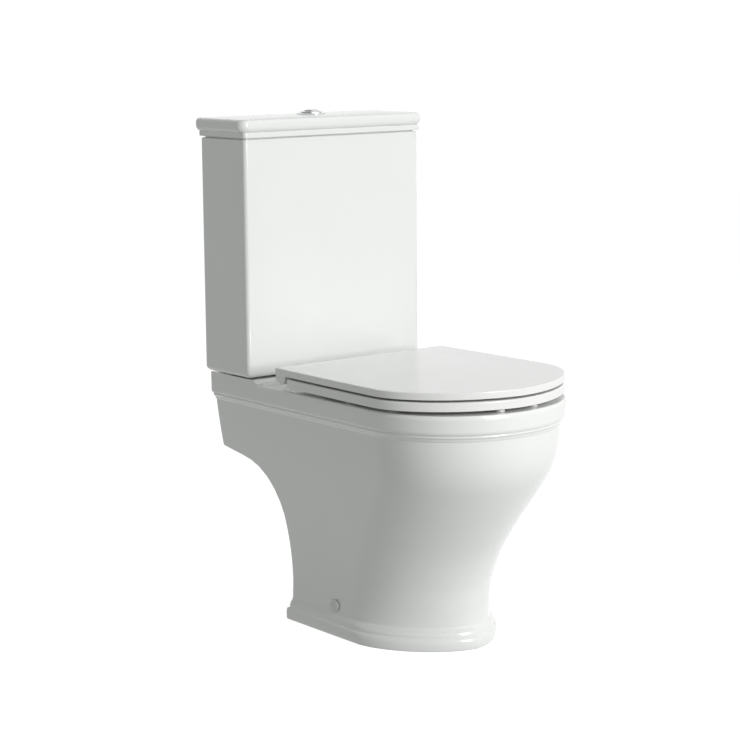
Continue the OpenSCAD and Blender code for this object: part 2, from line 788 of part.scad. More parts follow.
pan();
floor_brackets();
side_screws();
side_caps();
cistern();
coupling_seal();
cistern_bolts();
bolt_seal_washers();
shelf_rubber_washers();
shelf_steel_washers();
wing_nuts();
hinge_posts();
hinge_pins();
hinge_studs();
hinge_washers();
hinge_nuts();
seat_ring();
ring_buffers();
seat_lid();
lid_buffers();
cistern_lid();
button_bezel();
bezel_locknut();
full_button();
full_button_rod();
half_button();
half_button_rod();
full_button_spring();
half_button_spring();
flush_valve_body();
flush_valve_gasket();
flush_valve_backnut();
rocker_pin();
full_rocker();
half_rocker();
flush_stem();
flush_seal();
half_flush_trip();
fill_valve_body();
fill_valve_washer();
fill_valve_backnut();
lever_pin();
fill_float();
float_lever();
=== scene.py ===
import json
import math

import bmesh
import bpy
from mathutils import Matrix, Vector


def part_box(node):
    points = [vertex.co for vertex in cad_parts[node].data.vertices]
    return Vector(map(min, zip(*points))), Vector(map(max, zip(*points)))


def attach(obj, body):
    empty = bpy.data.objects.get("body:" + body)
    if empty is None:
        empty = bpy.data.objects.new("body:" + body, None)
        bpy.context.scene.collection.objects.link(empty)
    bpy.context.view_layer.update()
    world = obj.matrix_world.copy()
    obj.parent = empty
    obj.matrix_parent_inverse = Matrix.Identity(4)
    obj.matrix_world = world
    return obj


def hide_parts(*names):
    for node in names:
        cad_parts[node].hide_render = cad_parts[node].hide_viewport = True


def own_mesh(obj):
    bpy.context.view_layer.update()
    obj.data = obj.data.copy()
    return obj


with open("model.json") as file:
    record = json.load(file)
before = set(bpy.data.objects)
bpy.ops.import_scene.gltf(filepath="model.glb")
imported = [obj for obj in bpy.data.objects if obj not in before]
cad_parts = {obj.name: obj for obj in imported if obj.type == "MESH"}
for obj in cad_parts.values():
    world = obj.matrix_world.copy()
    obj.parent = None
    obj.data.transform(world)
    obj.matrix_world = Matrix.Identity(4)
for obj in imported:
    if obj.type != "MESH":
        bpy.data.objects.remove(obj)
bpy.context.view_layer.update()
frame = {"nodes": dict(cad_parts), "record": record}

MM = 0.001

# ---------------------------------------------------------------- sizes, in millimetres
DECK = 404.0
RIM_HALF, RIM_FRONT = 178.0, 302.5
WAIST_HALF, WAIST_FRONT = 120.0, 173.0
FOOT_TOP, RIM_LINE = 36.0, 362.0
FOOT_SIDE, FOOT_FRONT = 11.0, 14.0
BAND_SIDE, BAND_FRONT = 10.0, 6.0
CHINA = 11.0
PAN_BACK = 298.0
SHELF = 410.0
SHELF_FRONT, SWEEP = 176.0, 14.0
OUTLET_Z, OUTLET_R, OUTLET_WALL, OUTLET_END, PLATE_Y = 185.0, 51.0, 8.0, 236.0, 149.0
INLET_Y, INLET_R = 239.0, 38.0
BOLT_X, SUPPLY_X = 80.0, 125.0
HINGE_X, HINGE_Y, HINGE_Z = 77.5, 96.0, 426.5
STUD_HOLE_R, SHELF_SUPPLY_R = 7.0, 16.0
BRACKET_Y, SIDE_HOLE_Z, SIDE_HOLE_R, SIDE_HOLE_IN, SIDE_HOLE_OUT = 29.0, 47.0, 4.0, 95.0, 135.0
CAP_R, CAP_GAP, CAP_DOME = 10.5, 1.4, 2.2

SIDE_RISE = [(36, .02), (70, 0), (110, .06), (150, .19), (200, .39), (250, .6), (290, .77), (330, .91),
             (362, 1)]
FRONT_RISE = [(36, 0), (64, .005), (100, .04), (150, .19), (200, .44), (250, .72), (285, .9), (310, .975),
              (335, 1), (362, 1)]
FOOT_SHAPE = [(0, .9), (2, .96), (8, 1), (14, .97), (18, .86), (20, .66), (21, .58), (23, .6), (27, .52),
              (30, .36), (33, .14), (36, 0)]
BAND_SHAPE = [(362, 0), (364, .16), (367, .3), (370, .6), (371.5, .52), (373, .62), (375, .86), (379, 1),
              (396, 1), (400, .95), (402.8, .78), (404, .5)]
WALL_ROUND = [(0, 1.65), (60, 1.8), (200, 1.88), (404, 2.1)]
WALL_DEPTH = [(0, 1.1), (60, 1.3), (200, 1.12), (300, 1), (404, .95)]
BACK_EDGE = [(-1, 153), (19, 153), (20, 149), (150, 149), (180, 151), (200, 156), (222, 166), (242, 181),
             (257, 201), (266, 222), (271, 245), (275, 270), (280, 298)]
BOWL_SHAPE = [(44, 20, 14, 50), (52, 32, 0, 54), (80, 40, -18, 56), (106, 46, -34, 57), (120, 50, -44, 64),
              (160, 62, -84, 78), (200, 84, -142, 86), (250, 106, -194, 82), (300, 130, -240, 74),
              (345, 146, -264, 62), (372, 148, -268, 62)]
MOUTH = (126.0, -250.0, 44.0)
TRAP_PATH = [(44, 76), (66, 72), (88, 82), (104, 106), (116, 136), (130, 164), (146, 180), (168, 185)]
TRAP_R = 32.0
DUCT_HALF, DUCT_BACK, DUCT_LOW = 46.0, 284.0, 344.0
# How much the china round the bowl, the trap and duct, and the outlet stands out past their hollows
BOWL_CHINA, TRAP_CHINA, PLATE_CHINA, PLATE_THICK = 10.0, 9.0, 6.0, 12.0
FLARE_R = 7.0

TANK_HALF, TANK_FRONT, TANK_BACK = 183.0, 176.0, 300.0
TANK_LOW, TANK_TOP, TANK_WALL, TANK_R = 412.5, 806.0, 9.0, 7.0
TANK_FLOOR = (430.0, 440.0)
TANK_VALVE_R, TANK_SUPPLY_R, TANK_BOLT_R = 31.0, 11.5, 6.0
WALL_FIX_X, WALL_FIX_DOWN, WALL_FIX_R = 110.0, 60.0, 4.0

SEAT_HALF, SEAT_FRONT, SEAT_TAPER, SEAT_ROUND, SEAT_DEPTH = 182.0, 299.0, .03, 1.8, .8
RING_LOW, RING_HIGH, RING_BACK = 410.0, 424.5, 79.0
LID_LOW, LID_HIGH = 428.0, 439.7
BARREL_R, EYE_R, PIN_R, PIN_PLAY = 13.2, 9.3, 4.0, .06
POST_IN, POST_OUT = HINGE_X - 9.5, HINGE_X + 9.5
LUG_IN, WEB_OUT = POST_IN - 18, POST_OUT + 19

BAND_HALF, BAND_Y, BAND_BACK, BAND_LOW, BAND_R = 192.0, 171.0, 302.5, 816.5, 11.0
CROWN = 1.5
# Half width, front and back of the lid's plug, the ledge over it, and the band's lower edge
PLUG, LEDGE, BAND_EDGE = (168.0, 191.0, 287.5), (178.0, 181.0, 296.0), (185.5, 172.5, BAND_BACK)
PLUG_LOW, PLUG_HIGH, EDGE_LOW = 798.0, 806.1, 808.0
# Below 1 the lid's band is squarer than a half round, above and below its middle
BAND_FLAT_HIGH, BAND_FLAT_LOW = .62, .8
BEZEL_R, BEZEL_BORE, BEZEL_Z, BEZEL_FLOOR = 25.0, 16.8, 840.0, 814.0
BEZEL_NECK, BEZEL_BASE, LID_HOLE_R, ROD_HOLE_R = 20.0, 3.0, 20.4, 3.3
SPLIT_X, CAP_LOW, CAP_HIGH = 2.0, 836.0, 848.5
DOME_RISE, DOME_GAP, SPLIT_GAP = 5.2, .3, .2
FULL_X, HALF_X = -8.5, 8.5
SPRING_R, WIRE_R, SPRING_TURNS, SPRING_STEPS, WIRE_SIDES = 4.6, .58, 5, 24, 12
SPRING_LOW, SPRING_HIGH = BEZEL_FLOOR + .22, CAP_LOW - .22


# ---------------------------------------------------------------- curves and outlines
def curve(points, x):
    """Smooth curve through the points (x, value), as in the CAD source."""
    i = 0
    while i < len(points) - 2 and x >= points[i + 1][0]:
        i += 1
    (x0, v0), (x1, v1) = points[i], points[i + 1]

    def slope(k):
        a, b = points[max(k - 1, 0)], points[min(k + 1, len(points) - 1)]
        return (b[1] - a[1]) / (b[0] - a[0])

    h = x1 - x0
    t = (x - x0) / h
    return (v0 * (2 * t**3 - 3 * t**2 + 1) + v1 * (3 * t**2 - 2 * t**3)
            + h * slope(i) * (t**3 - 2 * t**2 + t) + h * slope(i + 1) * (t**3 - t**2))


def line(points, x):
    """Straight stretches through the points (x, value)."""
    for (x0, v0), (x1, v1) in zip(points, points[1:]):
        if x <= x1:
            return v0 + (v1 - v0) * (x - x0) / (x1 - x0)
    return points[-1][1]


def steps(low, high, size):
    """Even steps from low to high, both ends included."""
    n = max(1, round((high - low) / size))
    return [low + (high - low) * i / n for i in range(n + 1)]


def span(side, a, b):
    """From a to b along X on one side, side being -1 or 1, lower value first."""
    return sorted((side * a, side * b))


def power(v, e):
    return math.copysign(abs(v) ** e, v) if v else 0.0


def wall_half(z):
    rise = curve(SIDE_RISE, min(max(z, FOOT_TOP), RIM_LINE))
    return WAIST_HALF + (RIM_HALF - BAND_SIDE - WAIST_HALF) * rise


def wall_front(z):
    rise = curve(FRONT_RISE, min(max(z, FOOT_TOP), RIM_LINE))
    return WAIST_FRONT + (RIM_FRONT - BAND_FRONT - WAIST_FRONT) * rise


def band(z):
    """Share of the rim band's standing out, with a round top edge."""
    if z <= 396:
        return min(1, curve(BAND_SHAPE, z))
    return 1 - .5 * (1 - math.sqrt(max(0.0, 1 - ((z - 396) / 8) ** 2)))


def pan_half(z):
    return (wall_half(z) + (FOOT_SIDE * curve(FOOT_SHAPE, z) if z < FOOT_TOP else 0)
            + (BAND_SIDE * band(z) if z > RIM_LINE else 0))


def pan_front(z):
    return (wall_front(z) + (FOOT_FRONT * curve(FOOT_SHAPE, z) if z < FOOT_TOP else 0)
            + (BAND_FRONT * band(z) if z > RIM_LINE else 0))


def u_outline(half, front, back, rnd, depth, taper=.01, full_back=PAN_BACK, corner=3.0, arc=72,
              side=12):
    """Rounded front, straight sides and a square back with rounded corners, anticlockwise from the left."""
    start, e = depth * half - front, 2 / rnd
    pts = []
    for i in range(arc + 1):
        a = math.pi * i / arc
        pts.append((-half * power(math.cos(a), e), start - (front + start) * power(math.sin(a), e)))

    def x_at(y):
        return half * (1 - taper * ((y - start) / (full_back - start)) ** 2)

    end = back - corner
    along = [start + (end - start) * i / side for i in range(1, side + 1)]
    right = [(x_at(y), y) for y in along]
    turn = []
    for i in range(1, 6):
        a = math.pi / 2 * i / 5
        turn.append((x_at(end) - corner * (1 - math.cos(a)), end + corner * math.sin(a)))
    half_way = right + turn
    return pts + half_way + [(-x, y) for x, y in reversed(half_way)]


def oval(half, front, back, rnd=2.0, fat=.55, n=96):
    """Closed oval from front to back, anticlockwise."""
    mid, e = back - (back - front) * (1 - fat), 2 / rnd
    pts = []
    for i in range(n):
        a = 2 * math.pi * i / n
        s = math.sin(a)
        reach = back - mid if s > 0 else mid - front
        pts.append((half * power(math.cos(a), e), mid + reach * power(s, e)))
    return pts


def round_box(x0, x1, y0, y1, r_front, r_back, n=8):
    """Rectangle with rounded corners, anticlockwise."""
    pts = []
    corners = ((x1 - r_back, y1 - r_back, r_back, 0), (x0 + r_back, y1 - r_back, r_back, 90),
               (x0 + r_front, y0 + r_front, r_front, 180), (x1 - r_front, y0 + r_front, r_front, 270))
    for cx, cy, r, a0 in corners:
        for i in range(n + 1):
            a = math.radians(a0 + 90 * i / n)
            pts.append((cx + r * math.cos(a), cy + r * math.sin(a)))
    return pts


# ---------------------------------------------------------------- mesh making
def mesh_object(name, verts, faces, scale=MM):
    mesh = bpy.data.meshes.new(name)
    mesh.from_pydata([[c * scale for c in v] for v in verts], [], faces)
    mesh.validate()
    bm = bmesh.new()
    bm.from_mesh(mesh)
    bmesh.ops.recalc_face_normals(bm, faces=bm.faces)
    bm.to_mesh(mesh)
    bm.free()
    obj = bpy.data.objects.new(name, mesh)
    bpy.context.scene.collection.objects.link(obj)
    return obj


def ring_faces(n, m):
    """Faces between m rings of n vertices each, listed ring after ring."""
    return [(k * n + i, k * n + (i + 1) % n, (k + 1) * n + (i + 1) % n, (k + 1) * n + i)
            for k in range(m - 1) for i in range(n)]


def end_faces(n, m):
    """The flat faces on the first and last of m rings of n vertices."""
    return [tuple(reversed(range(n))), tuple((m - 1) * n + i for i in range(n))]


def loft(name, sections):
    """Closed solid through sections [(outline, z)] of equal length."""
    n, m = len(sections[0][0]), len(sections)
    verts = [(x, y, z) for outline, z in sections for x, y in outline]
    return mesh_object(name, verts, ring_faces(n, m) + end_faces(n, m))


def lathe(name, profile, n=96, axis="z", at=(0, 0, 0)):
    """Closed solid of revolution from a profile [(radius, along)] that starts and ends on the axis."""
    inner = [p for p in profile if p[0] > 1e-6]
    round_once = [2 * math.pi * i / n for i in range(n)]
    verts = [(r * math.cos(a), r * math.sin(a), h) for r, h in inner for a in round_once]
    faces = ring_faces(n, len(inner))
    low, high = len(verts), len(verts) + 1
    verts += [(0, 0, profile[0][1]), (0, 0, profile[-1][1])]
    last = (len(inner) - 1) * n
    for i in range(n):
        faces.append((low, (i + 1) % n, i))
        faces.append((high, last + i, last + (i + 1) % n))
    if axis == "x":
        verts = [(z, x, y) for x, y, z in verts]
    elif axis == "y":
        verts = [(y, z, x) for x, y, z in verts]
    return mesh_object(name, [(x + at[0], y + at[1], z + at[2]) for x, y, z in verts], faces)


def rod(name, r, low, high, axis="z", at=(0, 0, 0), n=64, edge=0.0):
    """Cylinder along an axis, with its edges rounded by edge."""
    if edge <= 0:
        return lathe(name, [(0, low), (r, low), (r, high), (0, high)], n, axis, at)
    turn = [math.pi / 2 * i / 6 for i in range(7)]
    flat = r - edge
    profile = [(0, low)]
    profile += [(flat + edge * math.sin(a), low + edge - edge * math.cos(a)) for a in turn]
    profile += [(flat + edge * math.cos(a), high - edge + edge * math.sin(a)) for a in turn]
    return lathe(name, profile + [(0, high)], n, axis, at)


def block(name, low, high):
    (x0, y0, z0), (x1, y1, z1) = low, high
    return loft(name, [([(x0, y0), (x1, y0), (x1, y1), (x0, y1)], z) for z in (z0, z1)])


def tube_path(name, path, radius, n=48):
    """Round solid along [(y, z)] points in the plane x = 0."""
    verts = []
    m = len(path)
    for i in range(m):
        a, b = Vector(path[max(i - 1, 0)]), Vector(path[min(i + 1, m - 1)])
        d = (b - a).normalized()
        for j in range(n):
            t = 2 * math.pi * j / n
            verts.append((radius * math.cos(t), path[i][0] - radius * math.sin(t) * d[1],
                          path[i][1] + radius * math.sin(t) * d[0]))
    return mesh_object(name, verts, ring_faces(n, m) + end_faces(n, m))


def combine(obj, other, how):
    """Joins, cuts or intersects obj with another solid, which is then gone."""
    mod = obj.modifiers.new(how, "BOOLEAN")
    mod.operation, mod.object, mod.solver = how, other, "MANIFOLD"
    bake_mesh(obj)
    bpy.data.objects.remove(other)
    return obj


def bake_mesh(obj):
    """Applies the object's modifiers."""
    dg = bpy.context.evaluated_depsgraph_get()
    mesh = bpy.data.meshes.new_from_object(obj.evaluated_get(dg), depsgraph=dg)
    old = obj.data
    obj.modifiers.clear()
    obj.data = mesh
    mesh.name = obj.name
    bpy.data.meshes.remove(old)


def cut(obj, *others):
    for other in others:
        combine(obj, other, "DIFFERENCE")
    return obj


def join(obj, *others):
    for other in others:
        combine(obj, other, "UNION")
    return obj


def smooth(obj, angle=32):
    """Merges doubled points, then smooth shading that keeps edges sharper than the angle."""
    bm = bmesh.new()
    bm.from_mesh(obj.data)
    bmesh.ops.remove_doubles(bm, verts=bm.verts, dist=2e-6)
    bmesh.ops.dissolve_degenerate(bm, edges=bm.edges, dist=1e-6)
    bmesh.ops.recalc_face_normals(bm, faces=bm.faces)
    bm.to_mesh(obj.data)
    bm.free()
    for p in obj.data.polygons:
        p.use_smooth = True
    obj.data.set_sharp_from_angle(angle=math.radians(angle))
    mod = obj.modifiers.new("weighted", "WEIGHTED_NORMAL")
    mod.keep_sharp = True
    mod.weight = 100
    return obj


def piece(obj, body, material, slot, *nodes):
    """Puts a finished mesh on its body, in place of its CAD nodes."""
    obj.data.materials.clear()
    obj.data.materials.append(material)
    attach(obj, body)
    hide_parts(*nodes)
    return obj


# ---------------------------------------------------------------- materials
class Nodes:
    """A procedural material round one Principled shader."""

    def __init__(self, name, **sockets):
        self.mat = bpy.data.materials.new(name)
        self.mat.use_nodes = True
        self.tree = self.mat.node_tree
        self.shader = self.tree.nodes["Principled BSDF"]
        for key, value in sockets.items():
            self.shader.inputs[key.replace("_", " ")].default_value = value
        self.coords = self.tree.nodes.new("ShaderNodeTexCoord")

    def noise(self, scale, detail=3.0, rough=.5, stretch=None):
        node = self.tree.nodes.new("ShaderNodeTexNoise")
        node.inputs["Scale"].default_value = scale
        node.inputs["Detail"].default_value = detail
        node.inputs["Roughness"].default_value = rough
        source = self.coords.outputs["Object"]
        if stretch:
            mapping = self.tree.nodes.new("ShaderNodeMapping")
            mapping.inputs["Scale"].default_value = stretch
            self.tree.links.new(source, mapping.inputs["Vector"])
            source = mapping.outputs["Vector"]
        self.tree.links.new(source, node.inputs["Vector"])
        return node.outputs["Fac"]

    def colour(self, fac, dark, light, low=.35, high=.65):
        ramp = self.tree.nodes.new("ShaderNodeValToRGB")
        ramp.color_ramp.elements[0].position, ramp.color_ramp.elements[0].color = low, (*dark, 1)
        ramp.color_ramp.elements[1].position, ramp.color_ramp.elements[1].color = high, (*light, 1)
        self.tree.links.new(fac, ramp.inputs["Fac"])
        self.tree.links.new(ramp.outputs["Color"], self.shader.inputs["Base Color"])
        return self

    def gloss(self, fac, low, high):
        node = self.tree.nodes.new("ShaderNodeMapRange")
        node.inputs["From Min"].default_value, node.inputs["From Max"].default_value = .3, .7
        node.inputs["To Min"].default_value, node.inputs["To Max"].default_value = low, high
        self.tree.links.new(fac, node.inputs["Value"])
        self.tree.links.new(node.outputs["Result"], self.shader.inputs["Roughness"])
        return self

    def bump(self, fac, depth, strength=.3):
        node = self.tree.nodes.new("ShaderNodeBump")
        node.inputs["Strength"].default_value, node.inputs["Distance"].default_value = strength, depth
        self.tree.links.new(fac, node.inputs["Height"])
        self.tree.links.new(node.outputs["Normal"], self.shader.inputs["Normal"])
        return self


def china_glaze():
    m = Nodes("china_glaze", IOR=1.5, Coat_Weight=.3, Coat_Roughness=.03)
    m.colour(m.noise(3.5, 4), (.79, .80, .785), (.815, .82, .81))
    m.gloss(m.noise(9, 3), .13, .19)
    return m.bump(m.noise(38, 2), .0004, .10).mat


def seat_gloss():
    m = Nodes("seat_thermoset", IOR=1.5, Coat_Weight=.2, Coat_Roughness=.05)
    m.colour(m.noise(6, 3), (.80, .80, .79), (.82, .82, .815))
    m.gloss(m.noise(14, 3), .16, .22)
    return m.bump(m.noise(160, 2), .0001, .12).mat


def chrome_plate():
    m = Nodes("chrome_plate", Metallic=1.0)
    m.colour(m.noise(40, 2), (.78, .79, .80), (.84, .85, .86))
    m.gloss(m.noise(90, 3), .07, .13)
    return m.bump(m.noise(220, 2), .00005, .1).mat


def plastic(name, dark, light, rough=.38, grain=260):
    m = Nodes(name, IOR=1.46)
    m.colour(m.noise(30, 3), dark, light)
    m.gloss(m.noise(60, 3), rough - .05, rough + .07)
    return m.bump(m.noise(grain, 2), .0001, .2).mat


def zinc_steel():
    m = Nodes("zinc_steel", Metallic=.95)
    m.colour(m.noise(55, 4, .6), (.50, .51, .52), (.66, .66, .65))
    m.gloss(m.noise(120, 3), .26, .42)
    return m.bump(m.noise(400, 2, .5, (1, 1, 6)), .0001, .2).mat


CHINA_MAT = china_glaze()
SEAT_MAT = seat_gloss()
CHROME_MAT = chrome_plate()
WHITE_MAT = plastic("white_plastic", (.70, .70, .68), (.76, .76, .74))
BLUE_MAT = plastic("blue_plastic", (.05, .17, .38), (.07, .21, .45))
RUBBER_MAT = plastic("black_rubber", (.018, .018, .018), (.03, .03, .03), .62, 320)
PALE_MAT = plastic("pale_rubber", (.66, .66, .64), (.74, .74, .72), .5, 320)
STEEL_MAT = zinc_steel()
SLOT_MATS = {"china": CHINA_MAT, "seat_plastic": SEAT_MAT, "chrome": CHROME_MAT, "white_plastic": WHITE_MAT,
             "blue_plastic": BLUE_MAT, "black_rubber": RUBBER_MAT, "pale_rubber": PALE_MAT,
             "steel": STEEL_MAT}

slot_of = {sub["node"]: sub["material_slot"] for sub in frame["record"]["subparts"]}


# ---------------------------------------------------------------- pan
def make_pan():
    def back_at(z):
        return min(PAN_BACK, line(BACK_EDGE, z))

    def section(half, front, back, z):
        return (u_outline(half, front, back, curve(WALL_ROUND, z), curve(WALL_DEPTH, z)), z)

    def outside(name):
        foot = [0, .4, .9, 1.5, 2.2, 3, 4.2, 6, 8, 10.5, 13, 15, 17, 18, 19, 19.6, 20, 20.4, 21, 21.8, 23,
                25, 27, 28.5, 30, 31.5, 33, 34.5, 36]
        wall = steps(36, 250, 7)[1:] + steps(250, 281, 1.25)[1:] + steps(281, 362, 6)[1:]
        rim = steps(362, 380, .75)[1:] + [383, 388, 393, 396, 397.5, 399, 400.5, 401.7, 402.7, 403.4,
                                          403.8, 404]
        return loft(name, [section(pan_half(z), pan_front(z), back_at(z), z) for z in foot + wall + rim])

    hollow_levels = [-1] + steps(36, 380, 12) + [DECK - 14]
    hollow = loft("hollow", [section(wall_half(z) - CHINA, wall_front(z) - CHINA, PAN_BACK + 20, z)
                             for z in hollow_levels])
    bowl_levels = steps(44, 80, 4) + steps(80, 372, 8)[1:]

    def bowl(name, grow, top):
        keys = [[(b[0], b[k]) for b in BOWL_SHAPE] for k in (1, 2, 3)]
        rows = [(oval(curve(keys[0], z) + grow, curve(keys[1], z) - grow, curve(keys[2], z) + grow),
                 top if z == 372 else z - (grow if z < 50 else 0)) for z in bowl_levels]
        return loft(name, rows)

    def mouth(name, rows):
        """Loft of the mouth's oval, grown by the first number of each row at the height in the second."""
        return loft(name, [(oval(MOUTH[0] + g, MOUTH[1] - g, MOUTH[2] + g), z) for g, z in rows])

    trap_y = [(i, p[0]) for i, p in enumerate(TRAP_PATH)]
    trap_z = [(i, p[1]) for i, p in enumerate(TRAP_PATH)]
    trap = [(curve(trap_y, t), curve(trap_z, t)) for t in steps(0, len(TRAP_PATH) - 1, .25)]

    def duct(name, grow):
        return block(name, (-DUCT_HALF - grow, 50, DUCT_LOW - grow),
                     (DUCT_HALF + grow, DUCT_BACK, DECK - 14))

    inner = bowl("inner", BOWL_CHINA, DECK - 8)
    plate = OUTLET_R + PLATE_CHINA
    join(inner, tube_path("t", trap, TRAP_R + TRAP_CHINA), duct("d", TRAP_CHINA),
         block("p", (-plate, PLATE_Y - PLATE_THICK, OUTLET_Z - plate), (plate, PLATE_Y, OUTLET_Z + plate)))
    combine(inner, outside("o"), "INTERSECT")
    pan = outside("pan_casting")
    cut(pan, hollow)
    join(pan, inner)

    rise = SHELF - DECK
    side = RIM_HALF - 3
    sweep = SHELF_FRONT - SWEEP
    profile = [(sweep + SWEEP * t, DECK + rise * (3 * t**2 - 2 * t**3)) for t in steps(0, 1, .1)]
    profile += [(PAN_BACK, SHELF), (PAN_BACK, DECK - 8), (sweep, DECK - 8)]
    n = len(profile)
    join(pan, mesh_object("shelf", [(x, y, z) for x in (-side, side) for y, z in profile],
                          ring_faces(n, 2) + end_faces(n, 2)))

    channel = mouth("c", [(22, DECK - 44), (22, DECK - 14)])
    cut(channel, mouth("ci", [(10, DECK - 46), (10, DECK)]))
    flare = [(FLARE_R * (1 - math.cos(a)), DECK - FLARE_R + FLARE_R * math.sin(a))
             for a in steps(0, math.pi / 2, .22)[1:]]
    opening = mouth("m", [(0, DECK - 50), (0, DECK - FLARE_R)] + flare + [(FLARE_R, DECK + 20)])
    cut(pan, bowl("b", 0, DECK - 34), channel, opening, tube_path("t2", trap, TRAP_R), duct("d2", 0))
    join(pan, rod("spigot", OUTLET_R, PLATE_Y - 2, OUTLET_END, "y", (0, 0, OUTLET_Z), 96, 1.2))
    holes = [rod("h", OUTLET_R - OUTLET_WALL, PLATE_Y - 3, OUTLET_END + 20, "y", (0, 0, OUTLET_Z), 96),
             rod("h", INLET_R, DECK - 30, DECK + 30, "z", (0, INLET_Y, 0), 96),
             rod("h", SHELF_SUPPLY_R, DECK - 40, DECK + 20, "z", (SUPPLY_X, INLET_Y, 0))]
    for s in (-1, 1):
        x0, x1 = span(s, SIDE_HOLE_IN, SIDE_HOLE_OUT)
        holes += [rod("h", STUD_HOLE_R, DECK - 40, DECK + 20, "z", (s * BOLT_X, INLET_Y, 0)),
                  rod("h", STUD_HOLE_R, DECK - 40, DECK + 20, "z", (s * HINGE_X, HINGE_Y, 0)),
                  rod("h", SIDE_HOLE_R, x0, x1, "x", (0, BRACKET_Y, SIDE_HOLE_Z))]
    cut(pan, *holes)
    smooth(pan, 28)
    return piece(pan, "root", CHINA_MAT, "china", "pan")


# ---------------------------------------------------------------- cistern
def make_cistern():
    def level(z, inset):
        half, corner = TANK_HALF - inset, max(.6, TANK_R - inset * .6)
        return (round_box(-half, half, TANK_FRONT + inset, TANK_BACK - inset, corner, 1.5), z)

    low = [level(TANK_LOW + 9 - 9 * math.cos(a), 9 - 9 * math.sin(a)) for a in steps(0, math.pi / 2, .17)]
    top = [level(TANK_TOP - 3 + 3 * math.sin(a), 3 - 3 * math.cos(a)) for a in steps(0, math.pi / 2, .3)]
    tank = loft("cistern_casting", low + [level(z, 0) for z in steps(440, 780, 40)] + top)

    def inner(inset):
        half = TANK_HALF - TANK_WALL - inset
        return round_box(-half, half, TANK_FRONT + TANK_WALL + inset, TANK_BACK - TANK_WALL - inset, 6, 6)

    floor = [(inner(8 - 8 * math.sin(a)), TANK_FLOOR[1] + 8 - 8 * math.cos(a))
             for a in steps(0, math.pi / 2, .2)]
    rim = [(inner(0), TANK_TOP - 3), (inner(-.6), TANK_TOP - 1.6), (inner(-1.6), TANK_TOP - .6),
           (inner(-3), TANK_TOP), (inner(-3), TANK_TOP + 5)]
    cut(tank, loft("i", floor + rim),
        loft("u", [(round_box(-150, 150, TANK_FRONT + 12, TANK_BACK - 11, 6, 6), z)
                   for z in (TANK_LOW - 2, TANK_FLOOR[0])]),
        rod("h", TANK_VALVE_R, 420, 450, "z", (0, INLET_Y, 0), 96),
        rod("h", TANK_SUPPLY_R, 420, 450, "z", (SUPPLY_X, INLET_Y, 0)))
    for s in (-1, 1):
        cut(tank, rod("h", TANK_BOLT_R, 420, 450, "z", (s * BOLT_X, INLET_Y, 0)),
            rod("h", WALL_FIX_R, TANK_BACK - 20, TANK_BACK + 5, "y",
                (s * WALL_FIX_X, 0, TANK_TOP - WALL_FIX_DOWN)))
    smooth(tank, 30)
    return piece(tank, "root", CHINA_MAT, "china", "cistern")


def make_cistern_lid():
    centre = BAND_LOW + BAND_R

    def outline(half, front, back, corner):
        return round_box(-half, half, front, back, corner, 1.2, 10)

    half, front, rear = BAND_EDGE
    rows = [(outline(*PLUG, 5), PLUG_LOW), (outline(*PLUG, 5), PLUG_HIGH),
            (outline(*LEDGE, 6), PLUG_HIGH), (outline(*LEDGE, 6), EDGE_LOW),
            (outline(half - 1.4, front + 1.4, rear - 1.4, 5), EDGE_LOW),
            (outline(half - .4, front + .4, rear - .4, 6), EDGE_LOW + .5),
            (outline(*BAND_EDGE, 6), EDGE_LOW + 1.4)]
    join_angle = math.acos((half - (BAND_HALF - BAND_R)) / BAND_R)
    rows.append((outline(*BAND_EDGE, 6.5), centre - BAND_R * math.sin(join_angle) - .3))
    for a in steps(-join_angle, math.pi / 2, .1):
        flat = BAND_FLAT_LOW if a < 0 else BAND_FLAT_HIGH
        out = BAND_R * (1 - math.cos(a) ** flat)
        rise = math.sin(a) if a < 0 else math.sin(a) ** flat
        back = BAND_BACK - max(0, out - BAND_R + 1.5)
        rows.append((outline(BAND_HALF - out, BAND_Y + out, back, 15 - .6 * out), centre + BAND_R * rise))
    for u in steps(0, 1, .125)[1:]:
        plan = outline(BAND_HALF - (BAND_R + 56 * u), BAND_Y + BAND_R + 20 * u, BAND_BACK - 1.5 - 26 * u,
                       6.5 + 4 * u)
        rows.append((plan, centre + BAND_R + CROWN * (1 - math.cos(math.pi * u)) / 2))
    lid = loft("cistern_lid_casting", rows)
    cut(lid, loft("u", [(round_box(-160, 160, 199, 279.5, 4, 4), z) for z in (790, 828)]),
        rod("h", LID_HOLE_R, 820, 860, "z", (0, INLET_Y, 0), 96))
    smooth(lid, 34)
    return piece(lid, "cistern_lid_body", CHINA_MAT, "china", "cistern_lid")


# ---------------------------------------------------------------- seat
def slab_rows(low, high, r_low, r_high, outline):
    """Sections of a flat slab whose edge is round below and above. outline(inset) gives its plan."""
    rows = [(outline(r_low * (1 - math.sin(a))), low + r_low * (1 - math.cos(a)))
            for a in steps(0, math.pi / 2, .2)]
    rows += [(outline(r_high * (1 - math.cos(a))), high - r_high * (1 - math.sin(a)))
             for a in steps(0, math.pi / 2, .16)]
    return rows


